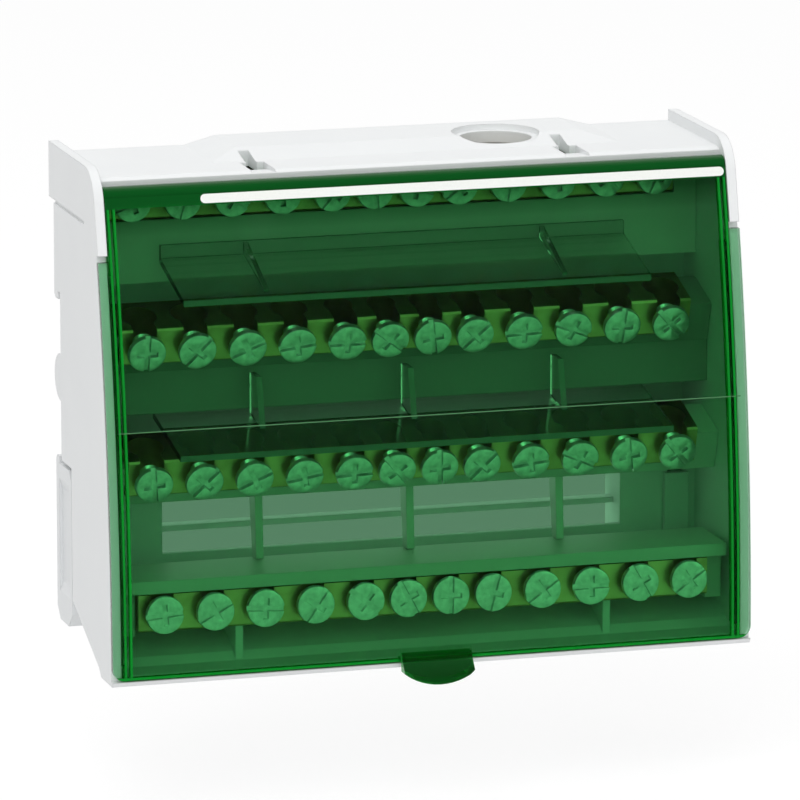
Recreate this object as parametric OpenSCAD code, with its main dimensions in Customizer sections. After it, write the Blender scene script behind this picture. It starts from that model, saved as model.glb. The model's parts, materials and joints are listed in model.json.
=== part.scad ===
// Four-pole distribution block for a 35 mm rail. A moulded housing carries four stepped brass bars
// with screw terminals behind a clear curved cover, which hinges at its top edge.
// Front faces -Y. The origin lies on the rail seat, level with the middle of the rail.
// Inside the modules, sizes are measured from the front bottom edge: y runs back and z runs up.

/* [Housing] */
// Overall width across both cheeks
body_w = 135; // [122:1:160]
// Overall height of the cheeks
body_h = 103; // [93:0.5:113]
// Depth from the front bottom edge to the back of the upper block
body_d = 50; // [49:0.5:58]
// Radius of the curved front
front_r = 390; // [360:5:440]
// Thickness of the moulded walls
wall = 2; // [1.6:0.1:2.2]
// Thickness of the two cheeks
cheek_t = 2; // [1.8:0.1:3]
// Height of the cheeks above the top panel
cheek_rise = 2.3; // [1:0.1:2.6]
// Radius of the top front corner of a cheek
cheek_corner_r = 8; // [5:0.5:10]
// Height of the raised middle of the top panel
crown_h = 1.7; // [0.8:0.1:2.2]
// Width of the raised middle, between its sloped ends
crown_w = 74; // [70:1:80]
// Side offset of the raised middle
crown_x = 4.5; // [0:0.5:6]
// Radius of the round cable entry in the top panel
entry_r = 9; // [7:0.1:9.2]

/* [Rail mount] */
// Depth of the rail seat behind the front bottom edge
seat_depth = 41.6; // [38:0.1:46]
// Height of the rail's middle above the bottom
rail_h = 55; // [50:0.1:60]
// Width of the rail that the block clips on
rail_w = 35; // [34.6:0.1:35.2]
// Width of the slot behind the rail's flange
rail_slot = 1.5; // [1.2:0.1:2]
// Overlap of a hook behind the rail's edge
hook_grip = 1.1; // [0.8:0.1:1.5]
// Thickness of the hooks behind the rail
hook_t = 3; // [2.5:0.1:3.4]
// Travel of a rail latch from locked to free
latch_travel = 4; // [3:0.5:5]
// Width of a rail latch
latch_w = 16.6; // [16:0.2:18]

/* [Terminals] */
// Distance of the top row's screws below the top panel
row_1_drop = 7.7; // [6:0.1:8]
// Height of the lowest row's screws above the bottom
row_4_rise = 13.3; // [13:0.1:14]
// Place of the second row on the way from the lowest row to the top row
row_2_share = 0.636; // [0.61:0.001:0.66]
// Place of the third row on the same way
row_3_share = 0.31; // [0.29:0.001:0.33]
// Distance of the second row's screw heads in front of the rail seat's wall
row_2_setback = 22.1; // [21.9:0.1:24]
// Distance of the third row's screw heads in front of the latch bays
row_3_setback = 19; // [18.5:0.1:20]
// Depth of the lowest row's screw heads
row_4_depth = 4.5; // [4:0.1:5]
// Forward tilt of the two middle rows
row_tilt = 18; // [14:1:19]
// Pitch of the four middle terminals
inner_pitch = 9; // [8.4:0.1:9.4]
// Pitch of the outer terminals
outer_pitch = 10.5; // [10:0.1:10.7]
// Room between a bar's end and the cheek
bar_end_room = 5.2; // [4:0.1:6]
// Smallest distance of a terminal from the bar's end
terminal_margin = 4.7; // [4.2:0.1:4.8]
// Depth of a bar
bar_d = 12; // [11:0.1:12.1]
// Height of a bar
bar_h = 8; // [7.4:0.1:8.2]
// Chamfer along the edges of a bar
bar_chamfer = 0.4; // [0.2:0.1:0.8]
// Width of the notch in a bar above each screw
notch_w = 5; // [4:0.1:5]
// Diameter of a middle wire hole
inner_wire_d = 6; // [4:0.1:6.5]
// Diameter of an outer wire hole
outer_wire_d = 7.6; // [5:0.1:8]
// Diameter of a terminal screw's shank
screw_d = 5; // [4:0.1:5.4]
// Diameter of a terminal screw's head
head_d = 7.8; // [7:0.1:7.9]
// Thickness of a terminal screw's head
head_t = 1.6; // [1.2:0.1:2]
// Distance of the open screws' heads from their bar
head_gap = 1.6; // [1:0.1:1.8]

/* [Cover] */
// Thickness of the clear cover
cover_t = 2; // [1.5:0.1:2.2]
// Height at which the cover's side flanges end
flange_top = 85; // [80:0.5:86]
// Radius of the beaded top edge, about the hinge axis
bead_r = 2; // [1.8:0.1:2.2]
// Thickness of the cover's inner skirts
skirt_t = 1; // [0.8:0.1:1.8]
// Depth of the cover's inner skirts
skirt_d = 3; // [2:0.5:9]
// Thickness of the cover's side flanges, in front of the cheeks
flange_t = 1; // [0.8:0.1:1.4]
// Radius of the hinge pins
pin_r = 1.4; // [1:0.1:1.6]
// Radius of the cover's lower corners
cover_corner_r = 2.5; // [1:0.1:4]
// Thickness of the clear screens between the rows
screen_t = 1.2; // [0.8:0.1:1.3]

/* [Hidden] */

$fn = 96;
sink = 0.5;
gap = 0.3;
pin_gap = 0.08;
thread_gap = 0.1;
over = 1;

half_w = body_w / 2;
half_in = half_w - cheek_t;
top_z = body_h - cheek_rise;
rim_h = 1;
rim_bevel = 0.7;

// Back outline, from the upper block down to the latch bay
rail_top = rail_h + rail_w / 2;
rail_bottom = rail_h - rail_w / 2;
hook_in_y = seat_depth + rail_slot;
hook_out_y = hook_in_y + hook_t;
hook_tip_z = rail_top - hook_grip;
hook_slot_z = rail_top + 0.5;
block_h = 11.8;
block_z = body_h - block_h;
seat_step = 0.3;
seat_top = hook_tip_z - gap;
seat_bottom = rail_bottom + hook_grip + 2 * gap;
bump_r = 4.9;
bay_top = rail_bottom + 0.6;
bay_wall = 1.5;
bay_y = seat_depth - 8.6;
bay_x = half_w - latch_w - gap;

// Bottom outline, a short flat and a slope up to the latch bay
flat_d = 9.5;
slope_start = [11.4, 1.7];
slope_rise = 0.41;
function slope_z(y) = slope_start[1] + slope_rise * (y - slope_start[0]);
slope_wall_z = wall * sqrt(1 + slope_rise * slope_rise);
back_sill_z = slope_z(bay_y) + 9;

// Front curve
function front_y(z, inset = 0) = front_r - sqrt(pow(front_r - inset, 2) - z * z);
flange_gap = 1.3;
recess = cover_t + gap;

// Cover hinge at the beaded top edge
hinge_z = top_z - 1.2 - bead_r;
bead_inset = bead_r + 0.1;
hinge_y = front_y(hinge_z, bead_inset);
panel_front = hinge_y + bead_r + 0.4;
cover_bottom = rim_h + gap;
skirt_top = flange_top - 3;
skirt_bottom = 4;
skirt_x = half_in - gap;
inner_limit = skirt_x - skirt_t - gap;

// Terminal places along a bar, from the middle out: two at the inner pitch, the rest at the outer one
bar_l = 2 * (half_in - bar_end_room);
inner_end = 1.5 * inner_pitch;
outer_count = floor((bar_l / 2 - terminal_margin - inner_end) / outer_pitch);
half_places = concat([inner_pitch / 2, inner_end], [for (i = [1 : outer_count]) inner_end + i * outer_pitch]);
places = concat([for (i = [len(half_places) - 1 : -1 : 0]) -half_places[i]], half_places);
function wire_d(i) = abs(places[i]) < inner_end + over ? inner_wire_d : outer_wire_d;

// Rows from the top down: depth and height of their screw heads, and their tilt
bar_v = head_t + head_gap;
row_y = [
    min(hook_out_y, body_d) - wall - gap - bar_d - bar_v, seat_depth - wall - row_2_setback,
    bay_y - bay_wall - row_3_setback, row_4_depth,
];
row_1_z = top_z - row_1_drop;
row_z = [for (share = [1, row_2_share, row_3_share, 0]) row_4_rise + share * (row_1_z - row_4_rise)];
tilts = [0, row_tilt, row_tilt, 0];

// Ribs, slots and screens across the width
rib_xs = [-32, 0, 32];
rib_t = 1.6;
panel_slot_xs = [-31, 35.3];
screen_hook_h = 2.6;

// Bar carriers
seat_gap = 0.2;
ledge_t = 2.2;
back_t = 1.2;
carrier_half = half_in - 0.1;
stop_x = bar_l / 2 + seat_gap;
apron_t = 2;
apron_1_rise = 12;
apron_1_bottom = row_z[1] + apron_1_rise;
apron_2_setback = 6.5;
apron_2_y = row_y[1] + apron_2_setback;
apron_2_rise = 12.5;
apron_2_bottom = row_z[2] + apron_2_rise;
apron_2_drop = 3;
tray_inset = 1.3;
tray_drop = 2;
roof_t = 1.5;
roof_gap = 1.3;
roof_z = row_z[3] + bar_h / 2 + roof_gap;
roof_front = row_y[3] + bar_v / 2;
lip_z = row_z[3] + head_d / 2 + gap;

// Rail latch and its spring
latch_y = bay_y + gap;
latch_x = bay_x + gap;
latch_bottom = 4.3;
latch_back = hook_out_y - 0.3;
tongue_x = half_w - 6.5;
tongue_w = 2.6;
tongue_head_w = 5.2;
tongue_z = [16, rail_bottom - 7.5];
pocket_x = bay_x + 4.9;
pocket_w = 6;
pocket_d = 6;
pocket_z = [10.5, rail_bottom - 3.5];
lug_t = 2;
lug_z = pocket_z[0] + latch_travel + gap;
spring_r = 1.9;
spring_wire_r = 0.35;
spring_turns = 7;
spring_steps = 12;
spring_sides = 6;

// Shared placing and extrusion helpers
module in_body() {
    translate([0, -seat_depth, -rail_h]) children();
}

module along_x(x0, x1) {
    translate([x0, 0, 0]) rotate([90, 0, 90]) linear_extrude(x1 - x0) children();
}

module along_y(y0, y1) {
    translate([0, y1, 0]) rotate([90, 0, 0]) linear_extrude(y1 - y0) children();
}

module both_sides() {
    children();
    mirror([1, 0, 0]) children();
}

module box(low, high) {
    translate(low) cube(high - low);
}

// Local frame of a row: v runs back along the screws and w runs up the bar
module in_row(n) {
    translate([0, row_y[n], row_z[n]]) rotate([tilts[n], 0, 0]) children();
}

module in_row_2d(n) {
    translate([row_y[n], row_z[n]]) rotate(tilts[n]) children();
}

module front_disc(inset = 0) {
    translate([front_r, 0]) circle(r = front_r - inset, $fn = 360);
}

module front_band(inset_0, inset_1, z0, z1) {
    intersection() {
        difference() {
            front_disc(inset_0);
            front_disc(inset_1);
        }
        translate([-over, z0]) square([front_r / 2, z1 - z0]);
    }
}

// Housing
module corner_round() {
    c = [front_y(body_h - cheek_corner_r, cheek_corner_r), body_h - cheek_corner_r];
    centre = [front_r, 0];
    out = centre + (c - centre) * (front_r + 3) / (front_r - cheek_corner_r);
    difference() {
        polygon([c, out, [out[0], body_h + over], [c[0], body_h + over]]);
        translate(c) circle(r = cheek_corner_r);
    }
}

module cheek_outline() {
    intersection() {
        polygon([
            [rim_bevel, 0], [flat_d, 0], slope_start, [bay_y, slope_z(bay_y)],
            [bay_y, bay_top], [seat_depth - seat_step, bay_top],
            [seat_depth - seat_step, hook_slot_z], [hook_in_y, hook_slot_z], [hook_in_y, hook_tip_z],
            [hook_out_y - 0.8, hook_tip_z], [hook_out_y, hook_tip_z + 0.8],
            [hook_out_y, block_z], [body_d, block_z], [body_d, body_h], [0, body_h], [0, rim_h],
        ]);
        front_disc();
    }
}

module cheek() {
    groove_d = 0.4;
    groove_h = 0.7;
    difference() {
        union() {
            along_x(half_in, half_w) difference() {
                cheek_outline();
                corner_round();
                front_band(-over, flange_t + gap, rim_h, flange_top + flange_gap);
            }
            along_x(half_in + sink + gap, half_w) translate([seat_depth, rail_h + 0.4]) circle(r = bump_r);
        }
        box([half_w - groove_d, front_y(block_z) + 10, block_z - groove_h / 2],
            [half_w + over, body_d + over, block_z + groove_h / 2]);
    }
}

// Top panel, back wall and upper rail hook, in one section
module spine_outline() {
    polygon([
        [panel_front + over, top_z], [body_d, top_z], [body_d, block_z], [hook_out_y, block_z],
        [hook_out_y, hook_tip_z + 0.8], [hook_out_y - 0.8, hook_tip_z],
        [hook_in_y, hook_tip_z], [hook_in_y, hook_slot_z], [seat_depth - seat_step, hook_slot_z],
        [seat_depth - seat_step, seat_top], [seat_depth, seat_top],
        [seat_depth, seat_bottom], [seat_depth - seat_step, seat_bottom],
        [seat_depth - seat_step, bay_top], [seat_depth - wall, bay_top],
        [seat_depth - wall, hook_slot_z + wall], [hook_out_y - wall, hook_slot_z + wall],
        [hook_out_y - wall, block_z + wall], [body_d - wall, block_z + wall],
        [body_d - wall, top_z - wall], [panel_front, top_z - wall], [panel_front, top_z - 0.6],
    ]);
}

// Front rim, flat bottom, slope and the low back wall under the rear window
module bottom_outline() {
    wall_y = bay_y - bay_wall;
    polygon([
        [rim_bevel, 0], [flat_d, 0], slope_start, [bay_y, slope_z(bay_y)], [bay_y, back_sill_z],
        [wall_y, back_sill_z], [wall_y, slope_z(wall_y) + slope_wall_z],
        [slope_start[0] - 0.8, slope_z(slope_start[0] - 0.8) + slope_wall_z],
        [flat_d - 0.8, wall], [recess, wall], [recess, rim_h], [0, rim_h],
    ]);
}

// Raised middle of the top panel, sloped at its front and both ends
module crown() {
    slope_w = 6.5;
    slope_d = 7;
    crown_front = panel_front + 11;
    intersection() {
        translate([crown_x, 0, 0]) along_y(panel_front, body_d)
            polygon([
                [-crown_w / 2 - slope_w, top_z - sink], [crown_w / 2 + slope_w, top_z - sink],
                [crown_w / 2 + slope_w, top_z], [crown_w / 2, top_z + crown_h],
                [-crown_w / 2, top_z + crown_h], [-crown_w / 2 - slope_w, top_z],
            ]);
        along_x(-half_in, half_in)
            polygon([
                [crown_front, top_z - sink], [body_d, top_z - sink], [body_d, top_z + crown_h],
                [crown_front + slope_d, top_z + crown_h], [crown_front, top_z],
            ]);
    }
}

module latch_bay() {
    wall_y = bay_y - bay_wall;
    wall_x = bay_x - bay_wall;
    ceiling = bay_top + bay_wall;
    box([wall_x, wall_y, slope_z(wall_y)], [half_in + sink, bay_y, ceiling]);
    box([wall_x, wall_y, bay_top], [half_in + sink, seat_depth - seat_step, ceiling]);
    box([wall_x, wall_y, slope_z(wall_y) + slope_wall_z], [bay_x, seat_depth - seat_step, ceiling]);
    box([pocket_x - pocket_w / 2 + 0.4, bay_y - sink, lug_z],
        [pocket_x + pocket_w / 2 - 0.4, latch_y + pocket_d - 0.8, lug_z + lug_t]);
}

module tongue_slot() {
    half_slot = tongue_w / 2 + gap;
    box([tongue_x - half_slot, bay_y - bay_wall - over, tongue_z[0] - latch_travel - gap],
        [tongue_x + half_slot, bay_y + gap / 2, tongue_z[1] + gap]);
}

// Bar across the rear window that ties the two latch bays together
module window_tie() {
    tie_z = rail_bottom - 14.4;
    box([-bay_x, bay_y + 3, tie_z], [bay_x, bay_y + 6, tie_z + 1.2]);
}

// Rib on the slope that carries the lowest bar
module bar_support() {
    support_inset = 26.5;
    support_x = half_in - support_inset;
    y0 = row_y[3] + bar_v + tray_inset;
    y1 = row_y[3] + bar_v + bar_d;
    top = row_z[3] - bar_h / 2 - seat_gap;
    along_x(support_x - rib_t / 2, support_x + rib_t / 2)
        polygon([
            [y0, top], [y1, top], [y1, slope_z(y1) + sink],
            slope_start + [0, sink], [flat_d, wall - sink], [y0, wall - sink],
        ]);
}

// Two-step round cable entry above a terminal of the top bar
module cable_entry() {
    step_w = 1.5;
    step_d = 1.2;
    crown_z = top_z + crown_h;
    translate([half_places[2], row_y[0] + bar_v + bar_d / 2, 0]) {
        translate([0, 0, crown_z - step_d]) cylinder(r = entry_r, h = step_d + over);
        translate([0, 0, top_z - wall - over]) cylinder(r = entry_r - step_w, h = wall + crown_h + 2 * over);
    }
}

// Keyed slot of the top panel with the ramp in front of it
module panel_slot(slot_x) {
    slot_y = panel_front + 7.2;
    cross_w = 5;
    stem_w = 2.2;
    box([slot_x - cross_w / 2, slot_y, top_z - wall - over],
        [slot_x + cross_w / 2, slot_y + 2.4, top_z + crown_h + over]);
    box([slot_x - stem_w / 2, slot_y, top_z - wall - over],
        [slot_x + stem_w / 2, slot_y + 9, top_z + crown_h + over]);
    along_x(slot_x - cross_w / 2, slot_x + cross_w / 2)
        polygon([
            [panel_front - over, top_z + over], [panel_front - over, top_z - 0.4],
            [slot_y + sink, top_z - 1.2], [slot_y + sink, top_z + over],
        ]);
}

module hinge_hole() {
    translate([half_in - over, hinge_y, hinge_z]) rotate([0, 90, 0])
        cylinder(r = pin_r + pin_gap, h = cheek_t * 0.75 + over);
}

module housing() {
    color("gainsboro") in_body() difference() {
        union() {
            both_sides() cheek();
            along_x(-half_in - sink, half_in + sink) spine_outline();
            along_x(-half_in - sink, half_in + sink) bottom_outline();
            crown();
            both_sides() latch_bay();
            both_sides() bar_support();
            window_tie();
        }
        cable_entry();
        for (x = panel_slot_xs) panel_slot(x);
        both_sides() tongue_slot();
        both_sides() hinge_hole();
    }
}

// Front cover
module cover_front_outline() {
    flat_w = half_w - cover_corner_r;
    low = cover_bottom + cover_corner_r;
    both_sides() translate([flat_w, low]) circle(r = cover_corner_r);
    translate([-flat_w, cover_bottom]) square([2 * flat_w, cover_corner_r + over]);
    translate([-half_w, low]) square([body_w, flange_top - low]);
    translate([-skirt_x, flange_top - over]) square([2 * skirt_x, hinge_z + over]);
}

// Flared tab at the bottom edge, in front of the housing's rim
module finger_tab() {
    tab_half = 7.4;
    tab_r = 12.6;
    tab_low = -3;
    tab_out = 4;
    intersection() {
        along_x(-tab_half, tab_half)
            polygon([
                [cover_t / 2, 5.4], [cover_t / 2, cover_bottom], [-gap, cover_bottom], [-0.5, 0],
                [-1, tab_low - over], [-tab_out, tab_low - over], [-tab_out, tab_low + 1.6],
                [-1.7, cover_bottom], [-0.6, 3.2],
            ]);
        along_y(-tab_out - over, tab_out) translate([0, tab_low + tab_r]) circle(r = tab_r);
    }
}

module front_cover() {
    color("forestgreen", 0.55) in_body() {
        difference() {
            intersection() {
                along_x(-half_w, half_w) front_band(0, cover_t, cover_bottom - over, hinge_z);
                along_y(-over, 40) cover_front_outline();
            }
            both_sides() along_x(skirt_x, half_w + over) front_band(flange_t, cover_t + over, 0, flange_top);
        }
        along_x(-skirt_x, skirt_x) translate([hinge_y, hinge_z]) circle(r = bead_r);
        both_sides() along_x(skirt_x - skirt_t, skirt_x)
            front_band(cover_t - sink, cover_t + skirt_d, skirt_bottom, skirt_top);
        both_sides() translate([skirt_x - sink, hinge_y, hinge_z]) rotate([0, 90, 0])
            cylinder(r = pin_r, h = sink + gap + cheek_t * 0.75 - 0.2);
        finger_tab();
    }
}

// Bars, screws and their carriers
module bar_outline() {
    c = bar_chamfer;
    v0 = bar_v;
    v1 = bar_v + bar_d;
    w = bar_h / 2;
    polygon([
        [v0 + c, -w], [v1 - c, -w], [v1, -w + c], [v1, w - c],
        [v1 - c, w], [v0 + c, w], [v0, w - c], [v0, -w + c],
    ]);
}

module bar(n) {
    color("goldenrod") in_body() in_row(n) difference() {
        along_x(-bar_l / 2, bar_l / 2) bar_outline();
        for (i = [0 : len(places) - 1]) {
            translate([places[i], bar_v + bar_d / 2, -bar_h]) cylinder(d = wire_d(i), h = 2 * bar_h);
            translate([places[i], 0, 0]) rotate([-90, 0, 0])
                cylinder(d = screw_d + 2 * thread_gap, h = bar_v + bar_d / 2);
            box([places[i] - notch_w / 2, 0, 0], [places[i] + notch_w / 2, bar_v + bar_d / 2, bar_h]);
        }
    }
}

// Slotted cross-recess screws, each stopped at its own angle
module terminal_screws(n) {
    slot_w = 1.1;
    slot_d = head_t * 0.65;
    cross_l = 4.4;
    tip_v = bar_v + bar_d / 2 - outer_wire_d / 2 - thread_gap;
    color("silver") in_body() in_row(n) for (i = [0 : len(places) - 1]) {
        turn = (i * 67 + n * 41) % 180;
        translate([places[i], 0, 0]) rotate([-90, 0, 0]) difference() {
            union() {
                cylinder(d = head_d, h = head_t);
                cylinder(d = screw_d, h = tip_v);
            }
            rotate(turn) translate([-head_d, -slot_w / 2, -over]) cube([2 * head_d, slot_w, slot_d + over]);
            rotate(turn + 90) translate([-cross_l / 2, -slot_w / 2, -over])
                cube([cross_l, slot_w, slot_d + over]);
        }
    }
}

// Stops at both ends of a bar, in the row's own frame
module end_stops(n, v0, v1, w0, w1) {
    in_row(n) both_sides() box([stop_x, v0, w0], [carrier_half, v1, w1]);
}

module bar_carrier_1() {
    y0 = row_y[0] + bar_v;
    y1 = y0 + bar_d + 0.1;
    bar_low = row_z[0] - bar_h / 2;
    seat_z = bar_low - seat_gap;
    color("whitesmoke") in_body() {
        difference() {
            along_x(-carrier_half, carrier_half)
                polygon([
                    [y0, apron_1_bottom], [y0 + apron_t, apron_1_bottom], [y0 + apron_t, seat_z - ledge_t],
                    [y1, seat_z - ledge_t], [y1, seat_z], [y0, seat_z],
                ]);
            for (i = [0 : len(places) - 1])
                translate([places[i], y0 + bar_d / 2, seat_z - ledge_t - over])
                    cylinder(d = wire_d(i), h = ledge_t + 2 * over);
        }
        end_stops(0, bar_v, bar_v + bar_d, -bar_h / 2 - seat_gap - sink, bar_h / 2 - 1);
    }
}

// Tilted tray of a middle row
module tray_outline(n) {
    v1 = bar_v + bar_d + seat_gap;
    w0 = -bar_h / 2 - seat_gap;
    in_row_2d(n) {
        translate([bar_v + tray_inset, w0 - ledge_t]) square([v1 + back_t - bar_v - tray_inset, ledge_t]);
        translate([v1, w0 - ledge_t]) square([back_t, bar_h - tray_drop + ledge_t]);
    }
}

module tray_stops(n) {
    end_stops(n, bar_v + tray_inset, bar_v + bar_d + seat_gap + sink,
        -bar_h / 2 - seat_gap - sink, bar_h / 2 - tray_drop);
}

module bar_carrier_2() {
    apron_top = row_z[1] - apron_2_drop;
    color("whitesmoke") in_body() {
        along_x(-carrier_half, carrier_half) {
            tray_outline(1);
            translate([apron_2_y, apron_2_bottom]) square([apron_t, apron_top - apron_2_bottom]);
        }
        tray_stops(1);
        for (x = rib_xs)
            box([x - rib_t / 2, apron_2_y + apron_t - sink, apron_2_bottom + screen_hook_h],
                [x + rib_t / 2, seat_depth - wall - seat_gap, apron_top]);
    }
}

module bar_carrier_3() {
    foot_z = roof_z + roof_t + seat_gap;
    color("whitesmoke") in_body() {
        along_x(-carrier_half, carrier_half) tray_outline(2);
        tray_stops(2);
        for (x = rib_xs)
            along_x(x - rib_t / 2, x + rib_t / 2)
                polygon([
                    [row_y[2] + 7, row_z[2] - bar_h / 2 + 0.4], [row_y[2] + 12, row_z[2] - bar_h / 2 + 2],
                    [row_y[2] + 9, foot_z], [row_y[2] + 6, foot_z],
                ]);
    }
}

module bar_carrier_4() {
    bar_back = row_y[3] + bar_v + bar_d + gap;
    back_y = bar_back + 1.5;
    foot = slope_z(back_y) + slope_wall_z + 0.1;
    color("whitesmoke") in_body() {
        along_x(-inner_limit, inner_limit)
            polygon([
                [roof_front, lip_z], [roof_front + 1.4, lip_z], [roof_front + 1.4, roof_z], [bar_back, roof_z],
                [bar_back, foot], [back_y, foot], [back_y, roof_z + roof_t], [roof_front, roof_z + roof_t],
            ]);
        both_sides() {
            box([stop_x, row_y[3] + bar_v + 2, foot], [inner_limit, back_y, roof_z + sink]);
            box([inner_limit - sink, back_y - 8, foot + 1], [carrier_half, back_y, roof_z]);
        }
    }
}

// Clear screens between the rows
module screen_hook_outline(front, rear_y, rear_z) {
    polygon([
        front, [rear_y + screen_t, rear_z], [rear_y + screen_t, rear_z + screen_t + screen_hook_h],
        [rear_y, rear_z + screen_t + screen_hook_h], [rear_y, rear_z + screen_t], front + [0, screen_t],
    ]);
}

module upper_screen() {
    side_room = 14.6;
    hook_rise = 4;
    front_rise = 10.6;
    front_room = 3;
    rib_x = 31;
    rib_w = 1;
    half = inner_limit - side_room;
    rear_y = row_y[0] + bar_v - seat_gap - screen_t;
    rear_z = apron_1_bottom + hook_rise;
    front_z = row_z[1] + front_rise;
    front = [front_y(front_z, cover_t) + front_room, front_z];
    color("white", 0.35) in_body() {
        along_x(-half, half) screen_hook_outline(front, rear_y, rear_z);
        both_sides() along_x(rib_x, rib_x + rib_w)
            polygon([
                front + [2, screen_t / 2], [rear_y + sink, rear_z + screen_t / 2],
                [rear_y + sink, rear_z + screen_t + screen_hook_h], front + [2, screen_t + 1],
            ]);
    }
}

module lower_screen() {
    side_room = 11.9;
    hook_gap = 0.4;
    front_fall = 4.5;
    front_room = 0.7;
    rib_w = 1.2;
    rib_foot_d = 8;
    rib_top_d = 5;
    rib_drop = 6;
    half = inner_limit - side_room;
    rear_y = apron_2_y + apron_t + seat_gap;
    rear_z = apron_2_bottom - screen_t - hook_gap;
    front_z = rear_z - front_fall;
    front = [front_y(front_z, cover_t) + front_room, front_z];
    rib_back = apron_2_y - gap;
    rib_top = row_z[1] - rib_drop;
    color("white", 0.35) in_body() {
        along_x(-half, half) screen_hook_outline(front, rear_y, rear_z);
        for (x = rib_xs)
            along_x(x - rib_w / 2, x + rib_w / 2)
                polygon([
                    [rib_back - rib_foot_d, rear_z - 1.7], [rib_back, rear_z], [rib_back, rib_top],
                    [rib_back - rib_top_d, rib_top],
                ]);
    }
}

// Rail latch on the right, mirrored for the left
module latch_outline() {
    top = rail_bottom - gap;
    polygon([
        [latch_y, latch_bottom + 3], [latch_y + 3, latch_bottom], [latch_back - 2.5, latch_bottom],
        [latch_back, latch_bottom + 2.5], [latch_back, rail_bottom + hook_grip - 0.8],
        [latch_back - 0.8, rail_bottom + hook_grip], [hook_in_y, rail_bottom + hook_grip],
        [hook_in_y, top], [latch_y + 2, top], [latch_y, top - 2],
    ]);
}

module rail_latch() {
    panel_d = 0.7;
    panel_slope = 2;
    panel_low = latch_bottom + 6;
    panel_high = rail_bottom - 3.5;
    notch = 4;
    difference() {
        union() {
            along_x(latch_x, half_w) latch_outline();
            box([tongue_x - tongue_w / 2, bay_y - bay_wall - gap - sink, tongue_z[0]],
                [tongue_x + tongue_w / 2, latch_y + sink, tongue_z[1]]);
            box([tongue_x - tongue_head_w / 2, bay_y - 2 * bay_wall - gap, tongue_z[0]],
                [tongue_x + tongue_head_w / 2, bay_y - bay_wall - gap, tongue_z[1]]);
        }
        box([pocket_x - pocket_w / 2, latch_y - over, pocket_z[0]],
            [pocket_x + pocket_w / 2, latch_y + pocket_d, pocket_z[1]]);
        along_y(latch_y + 2, latch_back - 2.4)
            polygon([
                [half_w + over, panel_low], [half_w, panel_low], [half_w - panel_d, panel_low + panel_slope],
                [half_w - panel_d, panel_high - panel_slope], [half_w, panel_high], [half_w + over, panel_high],
            ]);
        box([latch_x + notch, latch_y - over, latch_bottom - over],
            [half_w - notch, latch_y + notch, latch_bottom + notch]);
    }
}

module rail_latch_right() {
    color("lightgray") in_body() rail_latch();
}

module rail_latch_left() {
    color("lightgray") in_body() mirror([1, 0, 0]) rail_latch();
}

// Compression spring between the housing's lug and the roof of the latch's pocket
module latch_spring(x) {
    z0 = lug_z + lug_t + 0.1 + spring_wire_r;
    z1 = pocket_z[1] - 0.1 - spring_wire_r;
    rings = spring_turns * spring_steps;
    centre = [x, latch_y + pocket_d / 2 - 0.2];
    points = [for (i = [0 : rings]) for (j = [0 : spring_sides - 1])
        let (a = 360 * i / spring_steps, b = 360 * j / spring_sides, r = spring_r + spring_wire_r * cos(b))
        [centre[0] + r * cos(a), centre[1] + r * sin(a), z0 + (z1 - z0) * i / rings + spring_wire_r * sin(b)]];
    sides = [for (i = [0 : rings - 1]) for (j = [0 : spring_sides - 1])
        let (k = (j + 1) % spring_sides, here = i * spring_sides, next = here + spring_sides)
        each [[here + j, next + j, next + k], [here + j, next + k, here + k]]];
    first = [for (j = [0 : spring_sides - 1]) j];
    last = [for (j = [spring_sides - 1 : -1 : 0]) rings * spring_sides + j];
    polyhedron(points, concat(sides, [first], [last]));
}

module latch_spring_right() {
    color("dimgray") in_body() latch_spring(pocket_x);
}

module latch_spring_left() {
    color("dimgray") in_body() latch_spring(-pocket_x);
}

housing();
front_cover();
bar_carrier_1();
bar_carrier_2();
bar_carrier_3();
bar_carrier_4();
bar(0);  // bar_1
bar(1);  // bar_2
bar(2);  // bar_3
bar(3);  // bar_4
terminal_screws(0);  // terminal_screws_1
terminal_screws(1);  // terminal_screws_2
terminal_screws(2);  // terminal_screws_3
terminal_screws(3);  // terminal_screws_4
upper_screen();
lower_screen();
rail_latch_left();
rail_latch_right();
latch_spring_left();
latch_spring_right();
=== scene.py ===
import json
import math

import bmesh
import bpy
from mathutils import Matrix, Vector


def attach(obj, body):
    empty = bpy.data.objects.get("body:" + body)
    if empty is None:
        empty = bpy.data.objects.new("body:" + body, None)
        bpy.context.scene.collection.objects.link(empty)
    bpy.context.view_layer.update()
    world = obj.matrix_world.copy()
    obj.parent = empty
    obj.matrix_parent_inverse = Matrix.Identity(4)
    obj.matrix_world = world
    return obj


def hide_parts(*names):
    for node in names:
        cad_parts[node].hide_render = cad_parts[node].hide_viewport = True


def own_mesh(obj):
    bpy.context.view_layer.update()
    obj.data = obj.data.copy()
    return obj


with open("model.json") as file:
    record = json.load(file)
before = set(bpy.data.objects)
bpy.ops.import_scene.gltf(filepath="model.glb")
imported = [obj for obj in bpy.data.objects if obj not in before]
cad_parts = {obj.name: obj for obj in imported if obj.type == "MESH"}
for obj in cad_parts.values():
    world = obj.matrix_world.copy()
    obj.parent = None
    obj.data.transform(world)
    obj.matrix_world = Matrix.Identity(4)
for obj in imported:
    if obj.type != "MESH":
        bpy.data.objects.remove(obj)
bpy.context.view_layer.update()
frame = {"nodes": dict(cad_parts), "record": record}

# Sizes shared with the part's source, in mm. Places are measured from the middle of the front bottom edge.
MM = 0.001
SEAT_DEPTH, RAIL_HEIGHT = 41.6, 55.0
FRONT_RADIUS = 390.0
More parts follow.
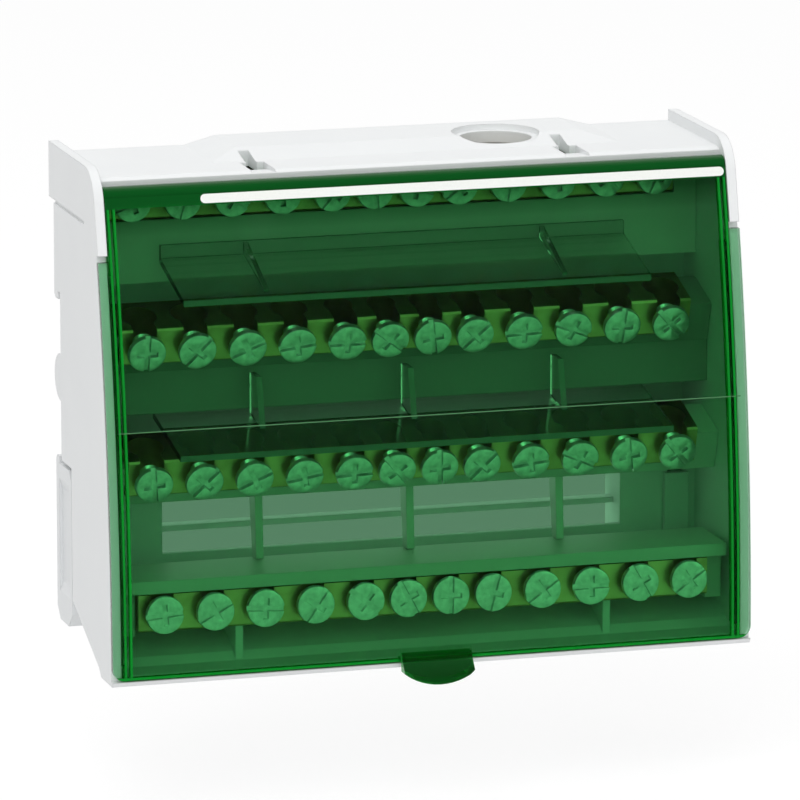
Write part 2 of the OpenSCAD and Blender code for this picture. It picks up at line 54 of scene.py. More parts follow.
# depth, height and tilt in degrees of each row's screw heads, from the top down
ROWS = [(28.6, 93.0, 0.0), (17.5, 63.99, 18.0), (12.5, 38.01, 18.0), (4.5, 13.3, 0.0)]
INNER_PITCH, OUTER_PITCH = 9.0, 10.5
HEAD_R, HEAD_T, SHANK_R, SCREW_L = 3.9, 1.6, 2.5, 5.3
SLOT_W, SLOT_D, CROSS_L = 1.1, 1.04, 4.4
SPRING_X, SPRING_Y, SPRING_LOW, SPRING_HIGH = 55.5, 36.1, 17.25, 33.55
SPRING_R, WIRE_R, SPRING_TURNS = 1.9, 0.35, 7
SKIRT_X, TAB_HALF, TAB_TOP, BEAD_LOW = 65.4, 7.6, 2.2, 95.3
SCREEN_FRONT_Y = 20.0

# Sizes of the looks alone, in mm: the screws' thread and broken edges, the height from which painted shade
# deepens the cover's colour, the painted highlight lines by its edges, and how far a strip on the cover reaches into
# it
THREAD_PITCH, THREAD_DEPTH, BROKEN_EDGE = 0.8, 0.35, 0.1
PAINTED_SHADE_LOW = 89.5
GLOW_X, GLOW_Z, GLOW_HALF = (63.6, 64.8), (0.6, 1.6), 0.25
STRIP_BITE = 0.03

# Sizes of the finishes' patterns, in mm
MELT_CLOUD, SCUFF, DRAWN_LINE, FILM_PATCH = 28, 6, 0.25, 9
TURNED_RING, ZINC_SPOT, WIRE_PIT, INK_MOTTLE = 0.5, 1.2, 0.6, 0.4

# How far a normal has to lean, from 0 to 1, for a face to count as a side, a front or an upper face
SIDE_LEAN, FRONT_LEAN, UPPER_LEAN = 0.9, 0.8, 0.6

# Slope of each screw's slot from the horizontal, in degrees, left to right, for each row from the top down
SLOT_SLOPES = [
    [20, 75, -30, 0, 50, 95, -15, 35, 80, 10, -50, 65],
    [90, 50, 25, 8, 0, -38, 100, 45, 2, -22, 88, -48],
    [97, 48, 27, 12, 2, -50, 95, 48, 8, -25, 100, -50],
    [5, 28, -3, 55, -38, -62, 89, 75, 35, 0, -60, 35],
]

# The camera's turn in degrees, its place in mm and its lens, as fitted to the photograph
CAMERA_YAW, CAMERA_PITCH = 16.4, 12.0
CAMERA_AT = (-432.70, -1486.21, 320.61)
CAMERA_LENS, CAMERA_SENSOR = 344.5, 36.0

# The floor's height and half width in m, and each lamp's name, place and size in m and power in W
FLOOR_Z, FLOOR_HALF = -0.083, 6.0
LAMPS = [
    ("key_lamp", (-0.7, -1.0, 1.5), 1.4, 16.0),
    ("fill_lamp", (1.2, -1.4, 0.6), 1.2, 4.0),
    ("top_lamp", (0.1, 0.3, 1.6), 1.6, 6.0),
]
SKY_LEVEL = 0.5  # on matt surfaces, where 1 is white
FLOOR_GLOW, FLOOR_GLOW_THROUGH = 0.8, 0.09  # seen straight, and through the clear block


def place(x, y, z):
    """A point measured from the block's front bottom edge in mm, as metres in the frame."""
    return Vector((x, y - SEAT_DEPTH, z - RAIL_HEIGHT)) * MM


def front_curve(z):
    """Depth of the cover's outer face at a height, in mm."""
    return FRONT_RADIUS - math.sqrt(FRONT_RADIUS ** 2 - z * z)


def linear(hex_colour):
    """An sRGB hex colour as linear RGBA."""
    channels = [int(hex_colour[i:i + 2], 16) / 255 for i in (0, 2, 4)]
    return (*[c / 12.92 if c <= 0.04045 else ((c + 0.055) / 1.055) ** 2.4 for c in channels], 1.0)


def per_mm(size):
    """Texture scale whose features are about this many mm."""
    return 1 / (size * MM)


def add(tree, kind, sockets=None, **settings):
    """Adds a node: settings are its properties, sockets its inputs, each a constant or an output to link."""
    made = tree.nodes.new(kind)
    for name, value in settings.items():
        setattr(made, name, value)
    for key, value in (sockets or {}).items():
        if isinstance(value, bpy.types.NodeSocket):
            tree.links.new(value, made.inputs[key])
        else:
            made.inputs[key].default_value = value
    return made


def new_material(name):
    """An empty material with its node tree and its output."""
    made = bpy.data.materials.new(name)
    made.use_nodes = True
    made.node_tree.nodes.clear()
    return made, made.node_tree, add(made.node_tree, "ShaderNodeOutputMaterial")


def moulded_plastic(name, pale, deep, rough, grit_mm, edge_mm):
    """Plastic from a spark-eroded mould: an even satin skin with a fine grit that softens highlights, slightly
    cloudy where the melt cooled unevenly, and edges rounded by the tool so that they catch a thin line of light."""
    made, t, out = new_material(name)
    at = add(t, "ShaderNodeTexCoord").outputs["Object"]
    cloud = add(t, "ShaderNodeTexNoise", {
        "Vector": at, "Scale": per_mm(MELT_CLOUD), "Detail": 3.0, "Roughness": 0.55})
    grit = add(t, "ShaderNodeTexNoise", {"Vector": at, "Scale": per_mm(grit_mm), "Detail": 2.0})
    colour = add(t, "ShaderNodeMix", {0: cloud.outputs["Fac"], 6: linear(pale), 7: linear(deep)},
                 data_type="RGBA")
    gloss = add(t, "ShaderNodeMapRange", {"Value": grit.outputs["Fac"], 3: rough - 0.06, 4: rough + 0.06})
    edge = add(t, "ShaderNodeBevel", {"Radius": edge_mm * MM}, samples=4)
    skin = add(t, "ShaderNodeBump", {"Height": grit.outputs["Fac"], "Strength": 0.12, "Distance": 0.05 * MM,
                                     "Normal": edge.outputs["Normal"]})
    shader = add(t, "ShaderNodeBsdfPrincipled", {
        "Base Color": colour.outputs[2], "Roughness": gloss.outputs[0], "IOR": 1.53,
        "Normal": skin.outputs["Normal"]})
    t.links.new(shader.outputs[0], out.inputs["Surface"])
    return made


def outward_normal(tree):
    """X, Y and Z of the normal in the piece's own frame, pointing outward also for light inside the plastic."""
    inside = add(tree, "ShaderNodeNewGeometry").outputs["Backfacing"]
    sign = add(tree, "ShaderNodeMath", {0: inside, 1: -2.0, 2: 1.0}, operation="MULTIPLY_ADD")
    normal = add(tree, "ShaderNodeTexCoord").outputs["Normal"]
    turned = add(tree, "ShaderNodeVectorMath", {0: normal, "Scale": sign.outputs[0]}, operation="SCALE")
    return add(tree, "ShaderNodeSeparateXYZ", {0: turned.outputs[0]}).outputs


def painted_edge_glow(tree, at):
    """1 on the cover's lower edge, its inner skirts and the sides of its finger tab, which are painted bright as
    painted highlights.
    """
    normal = outward_normal(tree)
    across = add(tree, "ShaderNodeSeparateXYZ", {0: at}).outputs["X"]
    inner = add(tree, "ShaderNodeMath", {0: across, 1: 0.0, 2: SKIRT_X * MM}, operation="COMPARE")
    forward = add(tree, "ShaderNodeMath", {0: normal["X"], 1: 0.0, 2: SIDE_LEAN}, operation="COMPARE")
    sides = add(tree, "ShaderNodeMath", {0: inner.outputs[0], 1: forward.outputs[0]},
                operation="SUBTRACT", use_clamp=True)
    below = add(tree, "ShaderNodeMath", {0: normal["Z"], 1: -SIDE_LEAN}, operation="LESS_THAN")
    return add(tree, "ShaderNodeMath", {0: sides.outputs[0], 1: below.outputs[0]}, operation="MAXIMUM").outputs[0]


def thick_tab_and_shade(tree, at):
    """1 in the finger tab, where the cover is thick: its deeper tint is partly the thick plastic's colour and partly
    painted shade.
    """
    spot = add(tree, "ShaderNodeSeparateXYZ", {0: at}).outputs
    middle = add(tree, "ShaderNodeMath", {0: spot["X"], 1: 0.0, 2: TAB_HALF * MM}, operation="COMPARE")
    low = add(tree, "ShaderNodeMath", {0: spot["Z"], 1: (TAB_TOP - RAIL_HEIGHT) * MM}, operation="LESS_THAN")
    return add(tree, "ShaderNodeMath", {0: middle.outputs[0], 1: low.outputs[0]}, operation="MULTIPLY").outputs[0]


def painted_glow_lines(tree, at):
    """1 along thin lines by the cover's sides and lower edge, which are painted bright as painted highlights of its
    turned-in rims.
    """
    spot = add(tree, "ShaderNodeSeparateXYZ", {0: at}).outputs
    aside = add(tree, "ShaderNodeMath", {0: spot["X"]}, operation="ABSOLUTE").outputs[0]
    mask = 0.0
    for across, middle in [(aside, x) for x in GLOW_X] + [(spot["Z"], z - RAIL_HEIGHT) for z in GLOW_Z]:
        line = add(tree, "ShaderNodeMath", {0: across, 1: middle * MM, 2: GLOW_HALF * MM}, operation="COMPARE")
        mask = add(tree, "ShaderNodeMath", {0: mask, 1: line.outputs[0]}, operation="MAXIMUM").outputs[0]
    return mask


def painted_top_row_shade(tree, at):
    """Painted shade, rising from 0 to 1 towards the bead: it darkens the cover where the top row lies in the top
    panel's shade.
    """
    height = add(tree, "ShaderNodeSeparateXYZ", {0: at}).outputs["Z"]
    return add(tree, "ShaderNodeMapRange", {
        "Value": height, 1: (PAINTED_SHADE_LOW - RAIL_HEIGHT) * MM, 2: (BEAD_LOW - RAIL_HEIGHT) * MM}).outputs[0]


def top_bead(tree, at):
    """1 in the bead along the cover's top edge, which is thick and lets little through."""
    height = add(tree, "ShaderNodeSeparateXYZ", {0: at}).outputs["Z"]
    above = add(tree, "ShaderNodeMath", {0: height, 1: (BEAD_LOW - RAIL_HEIGHT) * MM}, operation="GREATER_THAN")
    return above.outputs[0]


def painted_screen_glints(tree, at):
    """1 on the front edges of the screens and of their ribs, which are painted pale as painted highlights."""
    depth = add(tree, "ShaderNodeSeparateXYZ", {0: at}).outputs["Y"]
    front = add(tree, "ShaderNodeMath", {0: depth, 1: (SCREEN_FRONT_Y - SEAT_DEPTH) * MM}, operation="LESS_THAN")
    faces = add(tree, "ShaderNodeMath", {0: outward_normal(tree)["Y"], 1: -FRONT_LEAN}, operation="LESS_THAN")
    return add(tree, "ShaderNodeMath", {0: front.outputs[0], 1: faces.outputs[0]}, operation="MULTIPLY").outputs[0]


def clear_polycarbonate(name, passed, sheet_mm, rough, reflect, ripple_mm, places):
    """Polycarbonate moulded in a polished tool: see-through and dyed in the mass, so that light through its sheet
    takes the passed colour and thick places go deep, with a faint flow ripple that bends straight lines a little.
    Each of the places is a mask, its colour and how clear it is: at edges these paint a bright, less clear colour as
    painted highlights, so they show as thin bright lines. Reflections are held low, as in an even studio."""
    made, t, out = new_material(name)
    at = add(t, "ShaderNodeTexCoord").outputs["Object"]
    colour, clear = linear("FCFDFC"), 1.0
    for where, tint, clearness in places:
        mask = where(t, at)
        colour = add(t, "ShaderNodeMix", {0: mask, 6: colour, 7: linear(tint)}, data_type="RGBA").outputs[2]
        clear = add(t, "ShaderNodeMix", {0: mask, 2: clear, 3: clearness}).outputs[0]
    flow = add(t, "ShaderNodeTexNoise", {"Vector": at, "Scale": per_mm(ripple_mm), "Detail": 1.0})
    scuff = add(t, "ShaderNodeTexNoise", {"Vector": at, "Scale": per_mm(SCUFF), "Detail": 4.0})
    haze = add(t, "ShaderNodeMapRange", {
        "Value": scuff.outputs["Fac"], 1: 0.45, 2: 0.8, 3: rough, 4: rough + 0.03})
    skin = add(t, "ShaderNodeBump", {"Height": flow.outputs["Fac"], "Strength": 0.05, "Distance": 0.02 * MM})
    shader = add(t, "ShaderNodeBsdfPrincipled", {
        "Base Color": colour, "Roughness": haze.outputs[0], "IOR": 1.58, "Specular Tint": linear(reflect),
        "Transmission Weight": clear, "Normal": skin.outputs["Normal"]})
    t.links.new(shader.outputs[0], out.inputs["Surface"])
    loss = [-math.log(c) / (sheet_mm * MM) for c in linear(passed)[:3]]
    density = 1.05 * max(loss)
    dye = add(t, "ShaderNodeVolumeAbsorption", {
        "Color": (*[1 - value / density for value in loss], 1.0), "Density": density})
    t.links.new(dye.outputs[0], out.inputs["Volume"])
    return made


def drawn_brass():
    """Brass bar, drawn and then drilled: warm yellow metal with fine lines along its length and a dull, slightly
    brown film in patches, where it was handled, and painted shade that darkens its upper faces. The lines are drawn
    at
    0.25 mm, coarser than real ones, so that they show."""
    made, t, out = new_material("brass_drawn_dulled")
    at = add(t, "ShaderNodeTexCoord").outputs["Object"]
    along = add(t, "ShaderNodeMapping", {"Vector": at, "Scale": (0.01, 1.0, 1.0)})
    lines = add(t, "ShaderNodeTexNoise", {"Vector": along.outputs[0], "Scale": per_mm(DRAWN_LINE), "Detail": 3.0})
    film = add(t, "ShaderNodeTexNoise", {
        "Vector": at, "Scale": per_mm(FILM_PATCH), "Detail": 5.0, "Roughness": 0.6})
    patch = add(t, "ShaderNodeMapRange", {"Value": film.outputs["Fac"], 1: 0.42, 2: 0.7, 3: 0.0, 4: 0.75})
    front = add(t, "ShaderNodeMix", {0: patch.outputs[0], 6: linear("D2BE88"), 7: linear("A68E5A")},
                data_type="RGBA")
    # painted shade: faces that look up are given a darker, browner colour
    upper = add(t, "ShaderNodeMath", {0: outward_normal(t)["Z"], 1: UPPER_LEAN}, operation="GREATER_THAN")
    colour = add(t, "ShaderNodeMix", {0: upper.outputs[0], 6: front.outputs[2], 7: linear("7C7048")},
                 data_type="RGBA")
    gloss = add(t, "ShaderNodeMapRange", {"Value": lines.outputs["Fac"], 3: 0.28, 4: 0.5})
    skin = add(t, "ShaderNodeBump", {"Height": lines.outputs["Fac"], "Strength": 0.2, "Distance": 0.01 * MM})
    shader = add(t, "ShaderNodeBsdfPrincipled", {
        "Base Color": colour.outputs[2], "Metallic": 1.0, "Roughness": gloss.outputs[0],
        "Normal": skin.outputs["Normal"]})
    t.links.new(shader.outputs[0], out.inputs["Surface"])
    return made


def zinc_plated_steel():
    """Turned steel screw with bright zinc plating: cool pale metal, satin, with faint turning rings round each
    screw's axis and small cloudy spots. The rings are 0.5 mm apart, coarser than real ones, so that they show."""
    made, t, out = new_material("steel_zinc_plated")
    at = add(t, "ShaderNodeTexCoord").outputs["Object"]
    radius = add(t, "ShaderNodeAttribute", attribute_name="turned_radius")
    phase = add(t, "ShaderNodeMath", {0: radius.outputs["Fac"], 1: 2 * math.pi / (TURNED_RING * MM)},
                operation="MULTIPLY")
    rings = add(t, "ShaderNodeMath", {0: phase.outputs[0]}, operation="SINE")
    spots = add(t, "ShaderNodeTexNoise", {"Vector": at, "Scale": per_mm(ZINC_SPOT), "Detail": 4.0})
    cloud = add(t, "ShaderNodeMapRange", {"Value": spots.outputs["Fac"], 1: 0.35, 2: 0.7})
    colour = add(t, "ShaderNodeMix", {0: cloud.outputs[0], 6: linear("E6E9E9"), 7: linear("C8CCCD")},
                 data_type="RGBA")
    gloss = add(t, "ShaderNodeMapRange", {"Value": spots.outputs["Fac"], 3: 0.3, 4: 0.46})
    skin = add(t, "ShaderNodeBump", {"Height": rings.outputs[0], "Strength": 0.1, "Distance": 0.01 * MM})
    shader = add(t, "ShaderNodeBsdfPrincipled", {
        "Base Color": colour.outputs[2], "Metallic": 1.0, "Roughness": gloss.outputs[0],
        "Normal": skin.outputs["Normal"]})
    t.links.new(shader.outputs[0], out.inputs["Surface"])
    return made


def spring_wire_steel():
    """Drawn spring wire: darker grey metal with an oily, uneven sheen and tiny pits."""
    made, t, out = new_material("spring_steel_drawn")
    at = add(t, "ShaderNodeTexCoord").outputs["Object"]
    pits = add(t, "ShaderNodeTexNoise", {"Vector": at, "Scale": per_mm(WIRE_PIT), "Detail": 4.0})
    colour = add(t, "ShaderNodeMix", {0: pits.outputs["Fac"], 6: linear("9C9EA0"), 7: linear("6E7073")},
                 data_type="RGBA")
    gloss = add(t, "ShaderNodeMapRange", {"Value": pits.outputs["Fac"], 3: 0.25, 4: 0.45})
    skin = add(t, "ShaderNodeBump", {"Height": pits.outputs["Fac"], "Strength": 0.15, "Distance": 0.02 * MM})
    shader = add(t, "ShaderNodeBsdfPrincipled", {
        "Base Color": colour.outputs[2], "Metallic": 1.0, "Roughness": gloss.outputs[0],
        "Normal": skin.outputs["Normal"]})
    t.links.new(shader.outputs[0], out.inputs["Surface"])
    return made


def screen_printed_white():
    """White screen-printing ink on the cover: opaque and matt, with the fine mottle that the mesh leaves.
    The mottle is drawn at 0.4 mm, coarser than a real mesh, so that it shows."""
    made, t, out = new_material("ink_screen_printed_white")
    at = add(t, "ShaderNodeTexCoord").outputs["Object"]
    mesh_mark = add(t, "ShaderNodeTexNoise", {"Vector": at, "Scale": per_mm(INK_MOTTLE), "Detail": 2.0})
    colour = add(t, "ShaderNodeMix", {0: mesh_mark.outputs["Fac"], 6: linear("FAFCF8"), 7: linear("EEF2EC")},
                 data_type="RGBA")
    skin = add(t, "ShaderNodeBump", {"Height": mesh_mark.outputs["Fac"], "Strength": 0.15, "Distance": 0.01 * MM})
    shader = add(t, "ShaderNodeBsdfPrincipled", {
        "Base Color": colour.outputs[2], "Roughness": 0.55, "Normal": skin.outputs["Normal"]})
    t.links.new(shader.outputs[0], out.inputs["Surface"])
    return made


def object_of(name, bm):
    """A new object from a bmesh, with its place in its mesh."""
    mesh = bpy.data.meshes.new(name)
    bm.to_mesh(mesh)
    bm.free()
    made = bpy.data.objects.new(name, mesh)
    bpy.context.scene.collection.objects.link(made)
    return made


def baked(obj):
    """Turns an object's modifiers into a plain mesh of its own."""
    bpy.context.view_layer.update()
    done = bpy.data.meshes.new_from_object(obj.evaluated_get(bpy.context.evaluated_depsgraph_get()))
    obj.modifiers.clear()
    obj.data = done
    obj.data.name = obj.name
    return obj


def block_mesh(name, low, high):
    """A box between two corners."""
    bm = bmesh.new()
    size = Vector(high) - Vector(low)
    middle = (Vector(high) + Vector(low)) / 2
    bmesh.ops.create_cube(bm, size=1.0, matrix=Matrix.Translation(middle) @ Matrix.Diagonal((*size, 1.0)))
    return object_of(name, bm)


def terminal_screw():
    """One screw along +Y with its head's face at y 0, made in mm and then brought to metres: a turned profile,
    the slot and the cross recess cut in, and all its edges broken."""
    profile = [(0.0, 0.0), (HEAD_R - 0.4, 0.0), (HEAD_R - 0.1, 0.12), (HEAD_R, 0.4), (HEAD_R, HEAD_T - 0.3),
               (HEAD_R - 0.3, HEAD_T), (SHANK_R + 0.1, HEAD_T)]
    depth = HEAD_T + 0.2
    while depth < SCREW_L - 0.7:
        profile += [(SHANK_R - THREAD_DEPTH, depth), (SHANK_R, depth + THREAD_PITCH / 2)]
        depth += THREAD_PITCH
    profile += [(SHANK_R - 0.4, SCREW_L), (0.0, SCREW_L)]
    bm = bmesh.new()
    points = [bm.verts.new((r, y, 0.0)) for r, y in profile]
    edges = [bm.edges.new(pair) for pair in zip(points, points[1:])]
    bmesh.ops.spin(bm, geom=points + edges, cent=(0, 0, 0), axis=(0, 1, 0), angle=2 * math.pi, steps=40)
    bmesh.ops.remove_doubles(bm, verts=bm.verts, dist=1e-4)
    bmesh.ops.recalc_face_normals(bm, faces=bm.faces)
    screw = object_of("terminal_screw", bm)
    cutters = [block_mesh("slot", (-HEAD_R - 1, -1, -SLOT_W / 2), (HEAD_R + 1, SLOT_D, SLOT_W / 2)),
               block_mesh("cross", (-SLOT_W / 2, -1, -CROSS_L / 2), (SLOT_W / 2, SLOT_D, CROSS_L / 2))]
    for cutter in cutters:
        cut = screw.modifiers.new(cutter.name, "BOOLEAN")
        cut.operation, cut.solver, cut.object = "DIFFERENCE", "EXACT", cutter
    broken = screw.modifiers.new("broken_edges", "BEVEL")
    broken.width, broken.segments = BROKEN_EDGE, 2
    broken.limit_method, broken.angle_limit = "ANGLE", math.radians(50)
    baked(screw)
    for cutter in cutters:
        bpy.data.objects.remove(cutter)
    screw.data.transform(Matrix.Scale(MM, 4))
    radius = screw.data.attributes.new("turned_radius", "FLOAT", "POINT")
    radius.data.foreach_set("value", [math.hypot(v.co.x, v.co.z) for v in screw.data.vertices])
    screw.data.shade_smooth()
    screw.data.set_sharp_from_angle(angle=math.radians(35))
    return screw


def screw_row_tree(finish):
    """Geometry nodes that set one screw at each terminal of a row, from the pitches, the row's place and its tilt."""
    t = bpy.data.node_groups.new("screw_row", "GeometryNodeTree")
    for name, kind in (("Places", "NodeSocketGeometry"), ("Screw", "NodeSocketObject"),
                       ("Inner pitch", "NodeSocketFloat"), ("Outer pitch", "NodeSocketFloat"),
                       ("Row place", "NodeSocketVector"), ("Row tilt", "NodeSocketFloat")):
        t.interface.new_socket(name, in_out="INPUT", socket_type=kind)
    t.interface.new_socket("Screws", in_out="OUTPUT", socket_type="NodeSocketGeometry")
    given = add(t, "NodeGroupInput").outputs
    # the k-th place from the middle, 0 to 5, and its side
    number = add(t, "GeometryNodeInputIndex")
    off = add(t, "ShaderNodeMath", {0: number.outputs[0], 1: 5.5}, operation="SUBTRACT")
    side = add(t, "ShaderNodeMath", {0: off.outputs[0]}, operation="SIGN")
    reach = add(t, "ShaderNodeMath", {0: off.outputs[0]}, operation="ABSOLUTE")
    inner_steps = add(t, "ShaderNodeMath", {0: reach.outputs[0], 1: 1.5}, operation="MINIMUM")
    outer_steps = add(t, "ShaderNodeMath", {0: reach.outputs[0], 1: inner_steps.outputs[0]}, operation="SUBTRACT")
    inner = add(t, "ShaderNodeMath", {0: inner_steps.outputs[0], 1: given["Inner pitch"]}, operation="MULTIPLY")
    both = add(t, "ShaderNodeMath", {0: outer_steps.outputs[0], 1: given["Outer pitch"], 2: inner.outputs[0]},
               operation="MULTIPLY_ADD")
    x = add(t, "ShaderNodeMath", {0: both.outputs[0], 1: side.outputs[0]}, operation="MULTIPLY")
    spot = add(t, "ShaderNodeCombineXYZ", {"X": x.outputs[0]})
    spread = add(t, "GeometryNodeSetPosition", {"Geometry": given["Places"], "Position": spot.outputs[0]})
    turn = add(t, "GeometryNodeInputNamedAttribute", {"Name": "slot_turn"}, data_type="FLOAT")
    twist = add(t, "ShaderNodeCombineXYZ", {"Y": turn.outputs["Attribute"]})
    screw = add(t, "GeometryNodeObjectInfo", {"Object": given["Screw"]})
    set_in = add(t, "GeometryNodeInstanceOnPoints", {
        "Points": spread.outputs[0], "Instance": screw.outputs["Geometry"], "Rotation": twist.outputs[0]})
    lean = add(t, "ShaderNodeCombineXYZ", {"X": given["Row tilt"]})
    row = add(t, "GeometryNodeTransform", {
        "Geometry": set_in.outputs[0], "Translation": given["Row place"], "Rotation": lean.outputs[0]})
    real = add(t, "GeometryNodeRealizeInstances", {"Geometry": row.outputs[0]})
    painted = add(t, "GeometryNodeSetMaterial", {"Geometry": real.outputs[0], "Material": finish})
    add(t, "NodeGroupOutput", {"Screws": painted.outputs[0]})
    return t


def spring_tree(finish):
    """Geometry nodes that sweep a round wire along a coil standing on its lower end."""
    t = bpy.data.node_groups.new("latch_spring", "GeometryNodeTree")
    for name, kind in (("Start", "NodeSocketGeometry"), ("Turns", "NodeSocketFloat"),
                       ("Coil radius", "NodeSocketFloat"), ("Wire radius", "NodeSocketFloat"),
                       ("Height", "NodeSocketFloat"), ("Foot", "NodeSocketVector")):
        t.interface.new_socket(name, in_out="INPUT", socket_type=kind)
    t.interface.new_socket("Spring", in_out="OUTPUT", socket_type="NodeSocketGeometry")
    given = add(t, "NodeGroupInput").outputs
    coil = add(t, "GeometryNodeCurveSpiral", {
        "Resolution": 24, "Rotations": given["Turns"], "Start Radius": given["Coil radius"],
        "End Radius": given["Coil radius"], "Height": given["Height"]})
    wire = add(t, "GeometryNodeCurvePrimitiveCircle", {"Resolution": 12, "Radius": given["Wire radius"]})
    swept = add(t, "GeometryNodeCurveToMesh", {
        "Curve": coil.outputs[0], "Profile Curve": wire.outputs[0], "Fill Caps": True})
    stood = add(t, "GeometryNodeTransform", {"Geometry": swept.outputs[0], "Translation": given["Foot"]})
    real = add(t, "GeometryNodeRealizeInstances", {"Geometry": stood.outputs[0]})
    painted = add(t, "GeometryNodeSetMaterial", {"Geometry": real.outputs[0], "Material": finish})
    add(t, "NodeGroupOutput", {"Spring": painted.outputs[0]})
    return t


def grown(obj, tree, **sizes):
    """Runs a node tree on an object with the named sizes and keeps the result as its mesh."""
    made = obj.modifiers.new(tree.name, "NODES")
    made.node_group = tree
    for item in tree.interface.items_tree:
        if item.in_out == "INPUT" and item.name in sizes:
            made[item.identifier] = sizes[item.name]
    return baked(obj)


def screw_rows(finish):
    """Twelve screws on each bar, one piece for each row."""
    screw = terminal_screw()
    tree = screw_row_tree(finish)
    for n, ((y, z, tilt), slopes) in enumerate(zip(ROWS, SLOT_SLOPES), 1):
        bm = bmesh.new()
        for _ in slopes:
            bm.verts.new((0, 0, 0))
        row = object_of(f"screw_row_{n}", bm)
        turn = row.data.attributes.new("slot_turn", "FLOAT", "POINT")
        # seen from the front, a turn about +Y runs clockwise
        turn.data.foreach_set("value", [-math.radians(a) for a in slopes])
        grown(row, tree, **{"Screw": screw, "Inner pitch": INNER_PITCH * MM, "Outer pitch": OUTER_PITCH * MM,
                            "Row place": place(0, y, z), "Row tilt": math.radians(tilt)})
        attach(row, "block")
        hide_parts(f"terminal_screws_{n}")
    bpy.data.objects.remove(screw)


def latch_springs(finish):
    """A coil spring behind each rail latch, fixed to the block at one length, though the real one shortens as the
    latch is pulled down.
    """
    tree = spring_tree(finish)
    for side, x in (("left", -SPRING_X), ("right", SPRING_X)):
        spring = object_of(f"spring_{side}", bmesh.new())
        grown(spring, tree, **{"Turns": float(SPRING_TURNS), "Coil radius": SPRING_R * MM, "Wire radius": WIRE_R * MM,
                               "Height": (SPRING_HIGH - SPRING_LOW) * MM, "Foot": place(x, SPRING_Y, SPRING_LOW)})
        spring.data.shade_smooth()
        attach(spring, "block")
        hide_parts(f"latch_spring_{side}")
        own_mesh(spring)


def cover_strip(name, finish, left, right, low, high, proud):
    """A thin strip with round ends on the cover's curved outer face, between two sides and two heights in mm."""
    end_r = (high - low) / 2
    outline = []
    for x, start in ((right - end_r, -90), (left + end_r, 90)):
        for step in range(9):
            a = math.radians(start + step * 22.5)
            outline.append((x + end_r * math.cos(a), (low + high) / 2 + end_r * math.sin(a)))
    bm = bmesh.new()
    face = bm.faces.new([bm.verts.new(place(x, front_curve(z) - proud, z)) for x, z in outline])
    back = bmesh.ops.extrude_face_region(bm, geom=[face])["geom"]
    bmesh.ops.translate(bm, verts=[v for v in back if isinstance(v, bmesh.types.BMVert)],
                        vec=(0, (proud + STRIP_BITE) * MM, 0))
    bmesh.ops.recalc_face_normals(bm, faces=bm.faces)
    strip = object_of(name, bm)
    strip.data.materials.append(finish)
    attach(strip, "cover")


def finish_nodes(finishes):
    """Gives each solid that shows as it is its own finish, by its slot in the record."""
    for part in frame["record"]["subparts"]:
        finish = finishes.get(part["material_slot"])
        if finish:
            frame["nodes"][part["node"]].data.materials.clear()
            frame["nodes"][part["node"]].data.materials.append(finish)


def shows_white(tree, path):
    """1 for a ray from the camera or by way of metal or clear plastic, and 0 for light straight on a matt surface."""
    shown = path["Is Camera Ray"]
    for kind in ("Is Glossy Ray", "Is Transmission Ray"):
        shown = add(tree, "ShaderNodeMath", {0: shown, 1: path[kind]}, operation="MAXIMUM").outputs[0]
    return shown


def set_camera(scene):
    """A camera at the photograph's angle."""
    yaw, pitch = math.radians(CAMERA_YAW), math.radians(CAMERA_PITCH)
    right = Vector((math.cos(yaw), -math.sin(yaw), 0))
    up = Vector((math.sin(yaw) * math.sin(pitch), math.cos(yaw) * math.sin(pitch), math.cos(pitch)))
    camera = bpy.data.objects.new("camera", bpy.data.cameras.new("camera"))
    camera.data.lens, camera.data.sensor_width = CAMERA_LENS, CAMERA_SENSOR
    camera.matrix_world = Matrix((right, up, right.cross(up))).transposed().to_4x4()
    camera.location = Vector(CAMERA_AT) * MM
    scene.collection.objects.link(camera)
    scene.camera = camera


def set_floor():
    """A white floor below the block, which shows white but keeps the block's shadow."""
    bm = bmesh.new()
    bmesh.ops.create_grid(bm, x_segments=1, y_segments=1, size=FLOOR_HALF,
                          matrix=Matrix.Translation((0, 0, FLOOR_Z)))
    floor = object_of("floor", bm)
    pale, t, out = new_material("studio_floor_white")
    path = add(t, "ShaderNodeLightPath").outputs
    # light from a matt surface meets the plain floor
    direct = add(t, "ShaderNodeMath", {0: shows_white(t, path), 1: path["Diffuse Depth"]},
                 operation="SUBTRACT", use_clamp=True)
    # straight through the block the floor lies in the block's own shade
    through = add(t, "ShaderNodeMath", {0: path["Is Transmission Ray"], 1: path["Glossy Depth"]},
                  operation="SUBTRACT", use_clamp=True)
    strength = add(t, "ShaderNodeMath", {0: through.outputs[0], 1: FLOOR_GLOW_THROUGH - FLOOR_GLOW, 2: FLOOR_GLOW},
                   operation="MULTIPLY_ADD")
    lit = add(t, "ShaderNodeBsdfDiffuse", {"Color": linear("F2F2F2")})
    faint = add(t, "ShaderNodeBsdfDiffuse", {"Color": linear("868686")})
    glow = add(t, "ShaderNodeEmission", {"Color": linear("FFFFFF"), "Strength": strength.outputs[0]})
    white = add(t, "ShaderNodeAddShader", {0: faint.outputs[0], 1: glow.outputs[0]})
    mixed = add(t, "ShaderNodeMixShader", {0: direct.outputs[0], 1: lit.outputs[0], 2: white.outputs[0]})
    t.links.new(mixed.outputs[0], out.inputs["Surface"])
    floor.data.materials.append(pale)


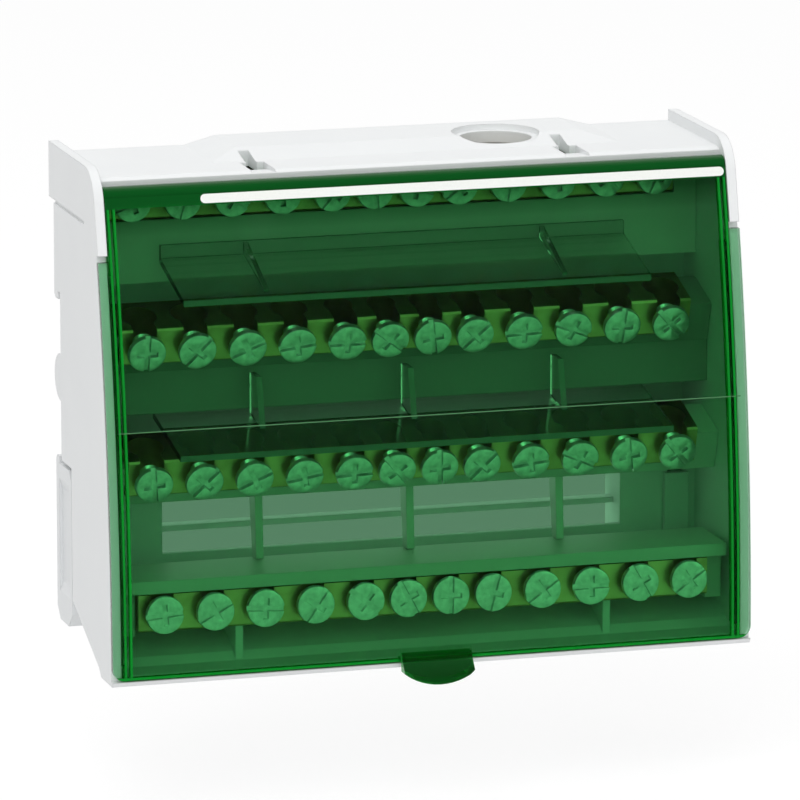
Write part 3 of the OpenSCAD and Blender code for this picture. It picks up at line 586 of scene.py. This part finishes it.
def set_light(scene):
    """Soft light from all round, which shows white, and large lamps."""
    world = bpy.data.worlds.new("soft_studio")
    world.use_nodes = True
    sky = world.node_tree
    shown = shows_white(sky, add(sky, "ShaderNodeLightPath").outputs)
    level = add(sky, "ShaderNodeMath", {0: shown, 1: 1 - SKY_LEVEL, 2: SKY_LEVEL}, operation="MULTIPLY_ADD")
    sky.nodes["Background"].inputs["Color"].default_value = linear("FFFFFF")
    sky.links.new(level.outputs[0], sky.nodes["Background"].inputs["Strength"])
    scene.world = world
    for name, spot, size, power in LAMPS:
        lamp = bpy.data.objects.new(name, bpy.data.lights.new(name, "AREA"))
        lamp.data.size, lamp.data.energy = size, power
        lamp.location = spot
        lamp.rotation_euler = (-Vector(spot)).to_track_quat("-Z", "Y").to_euler()
        scene.collection.objects.link(lamp)


finish_nodes({
    "housing_plastic": moulded_plastic("abs_light_grey_moulded", pale="EEF0F0", deep="E6E8E9", rough=0.5,
                                       grit_mm=0.5, edge_mm=0.35),
    "latch_plastic": moulded_plastic("acetal_light_grey_moulded", pale="E8EAEB", deep="DFE2E3", rough=0.42,
                                     grit_mm=0.6, edge_mm=0.3),
    "carrier_plastic": moulded_plastic("polyamide_off_white_moulded", pale="DADCD8", deep="CDD0CB", rough=0.48,
                                       grit_mm=0.4, edge_mm=0.25),
    "cover_clear": clear_polycarbonate(
        "polycarbonate_green_clear", passed="97DDAC", sheet_mm=2.0, rough=0.01, reflect="3A3A3A", ripple_mm=14,
        # the tint towards the bead is painted shade over the top row, the glow lines and edges are painted
        # highlights, and the finger tab's tint is partly painted shade
        places=[(painted_top_row_shade, "9AB4A0", 1.0), (painted_glow_lines, "10A033", 0.3), (thick_tab_and_shade, "3C9A50", 1.0),
                (top_bead, "0B5E21", 0.3), (painted_edge_glow, "2FB04A", 0.3)]),
    "screen_clear": clear_polycarbonate(
        "polycarbonate_clear", passed="FAFCFB", sheet_mm=10.0, rough=0.03, reflect="8A8A8A", ripple_mm=9,
        # the screens' front edges are painted pale: painted highlights
        places=[(painted_screen_glints, "A4B2A8", 0.4)]),
    "bar_brass": drawn_brass(),
})
# the second row's carrier is given a grey finish as painted shade, for the shade it lies in under the second row
frame["nodes"]["bar_carrier_2"].data.materials[0] = moulded_plastic(
    "polyamide_grey_moulded", pale="989B97", deep="8E918D", rough=0.5, grit_mm=0.4, edge_mm=0.25)
screw_rows(zinc_plated_steel())
latch_springs(spring_wire_steel())
cover_strip("cover_line", screen_printed_white(),
            left=-45.6, right=64.9, low=95.6, high=97.4, proud=0.05)
# a fine moulded line across the cover, drawn as a matt pale-green strip so that it shows as a thin pale stroke: a
# painted highlight
crease = moulded_plastic("polycarbonate_green_matt", pale="427F4E", deep="3A7646", rough=0.5,
                         grit_mm=0.5, edge_mm=0.05)
cover_strip("cover_crease", crease, left=-65.0, right=66.0, low=51.2, high=51.4, proud=0.04)
bpy.context.scene.view_settings.view_transform = "Standard"
set_camera(bpy.context.scene)
set_floor()
set_light(bpy.context.scene)
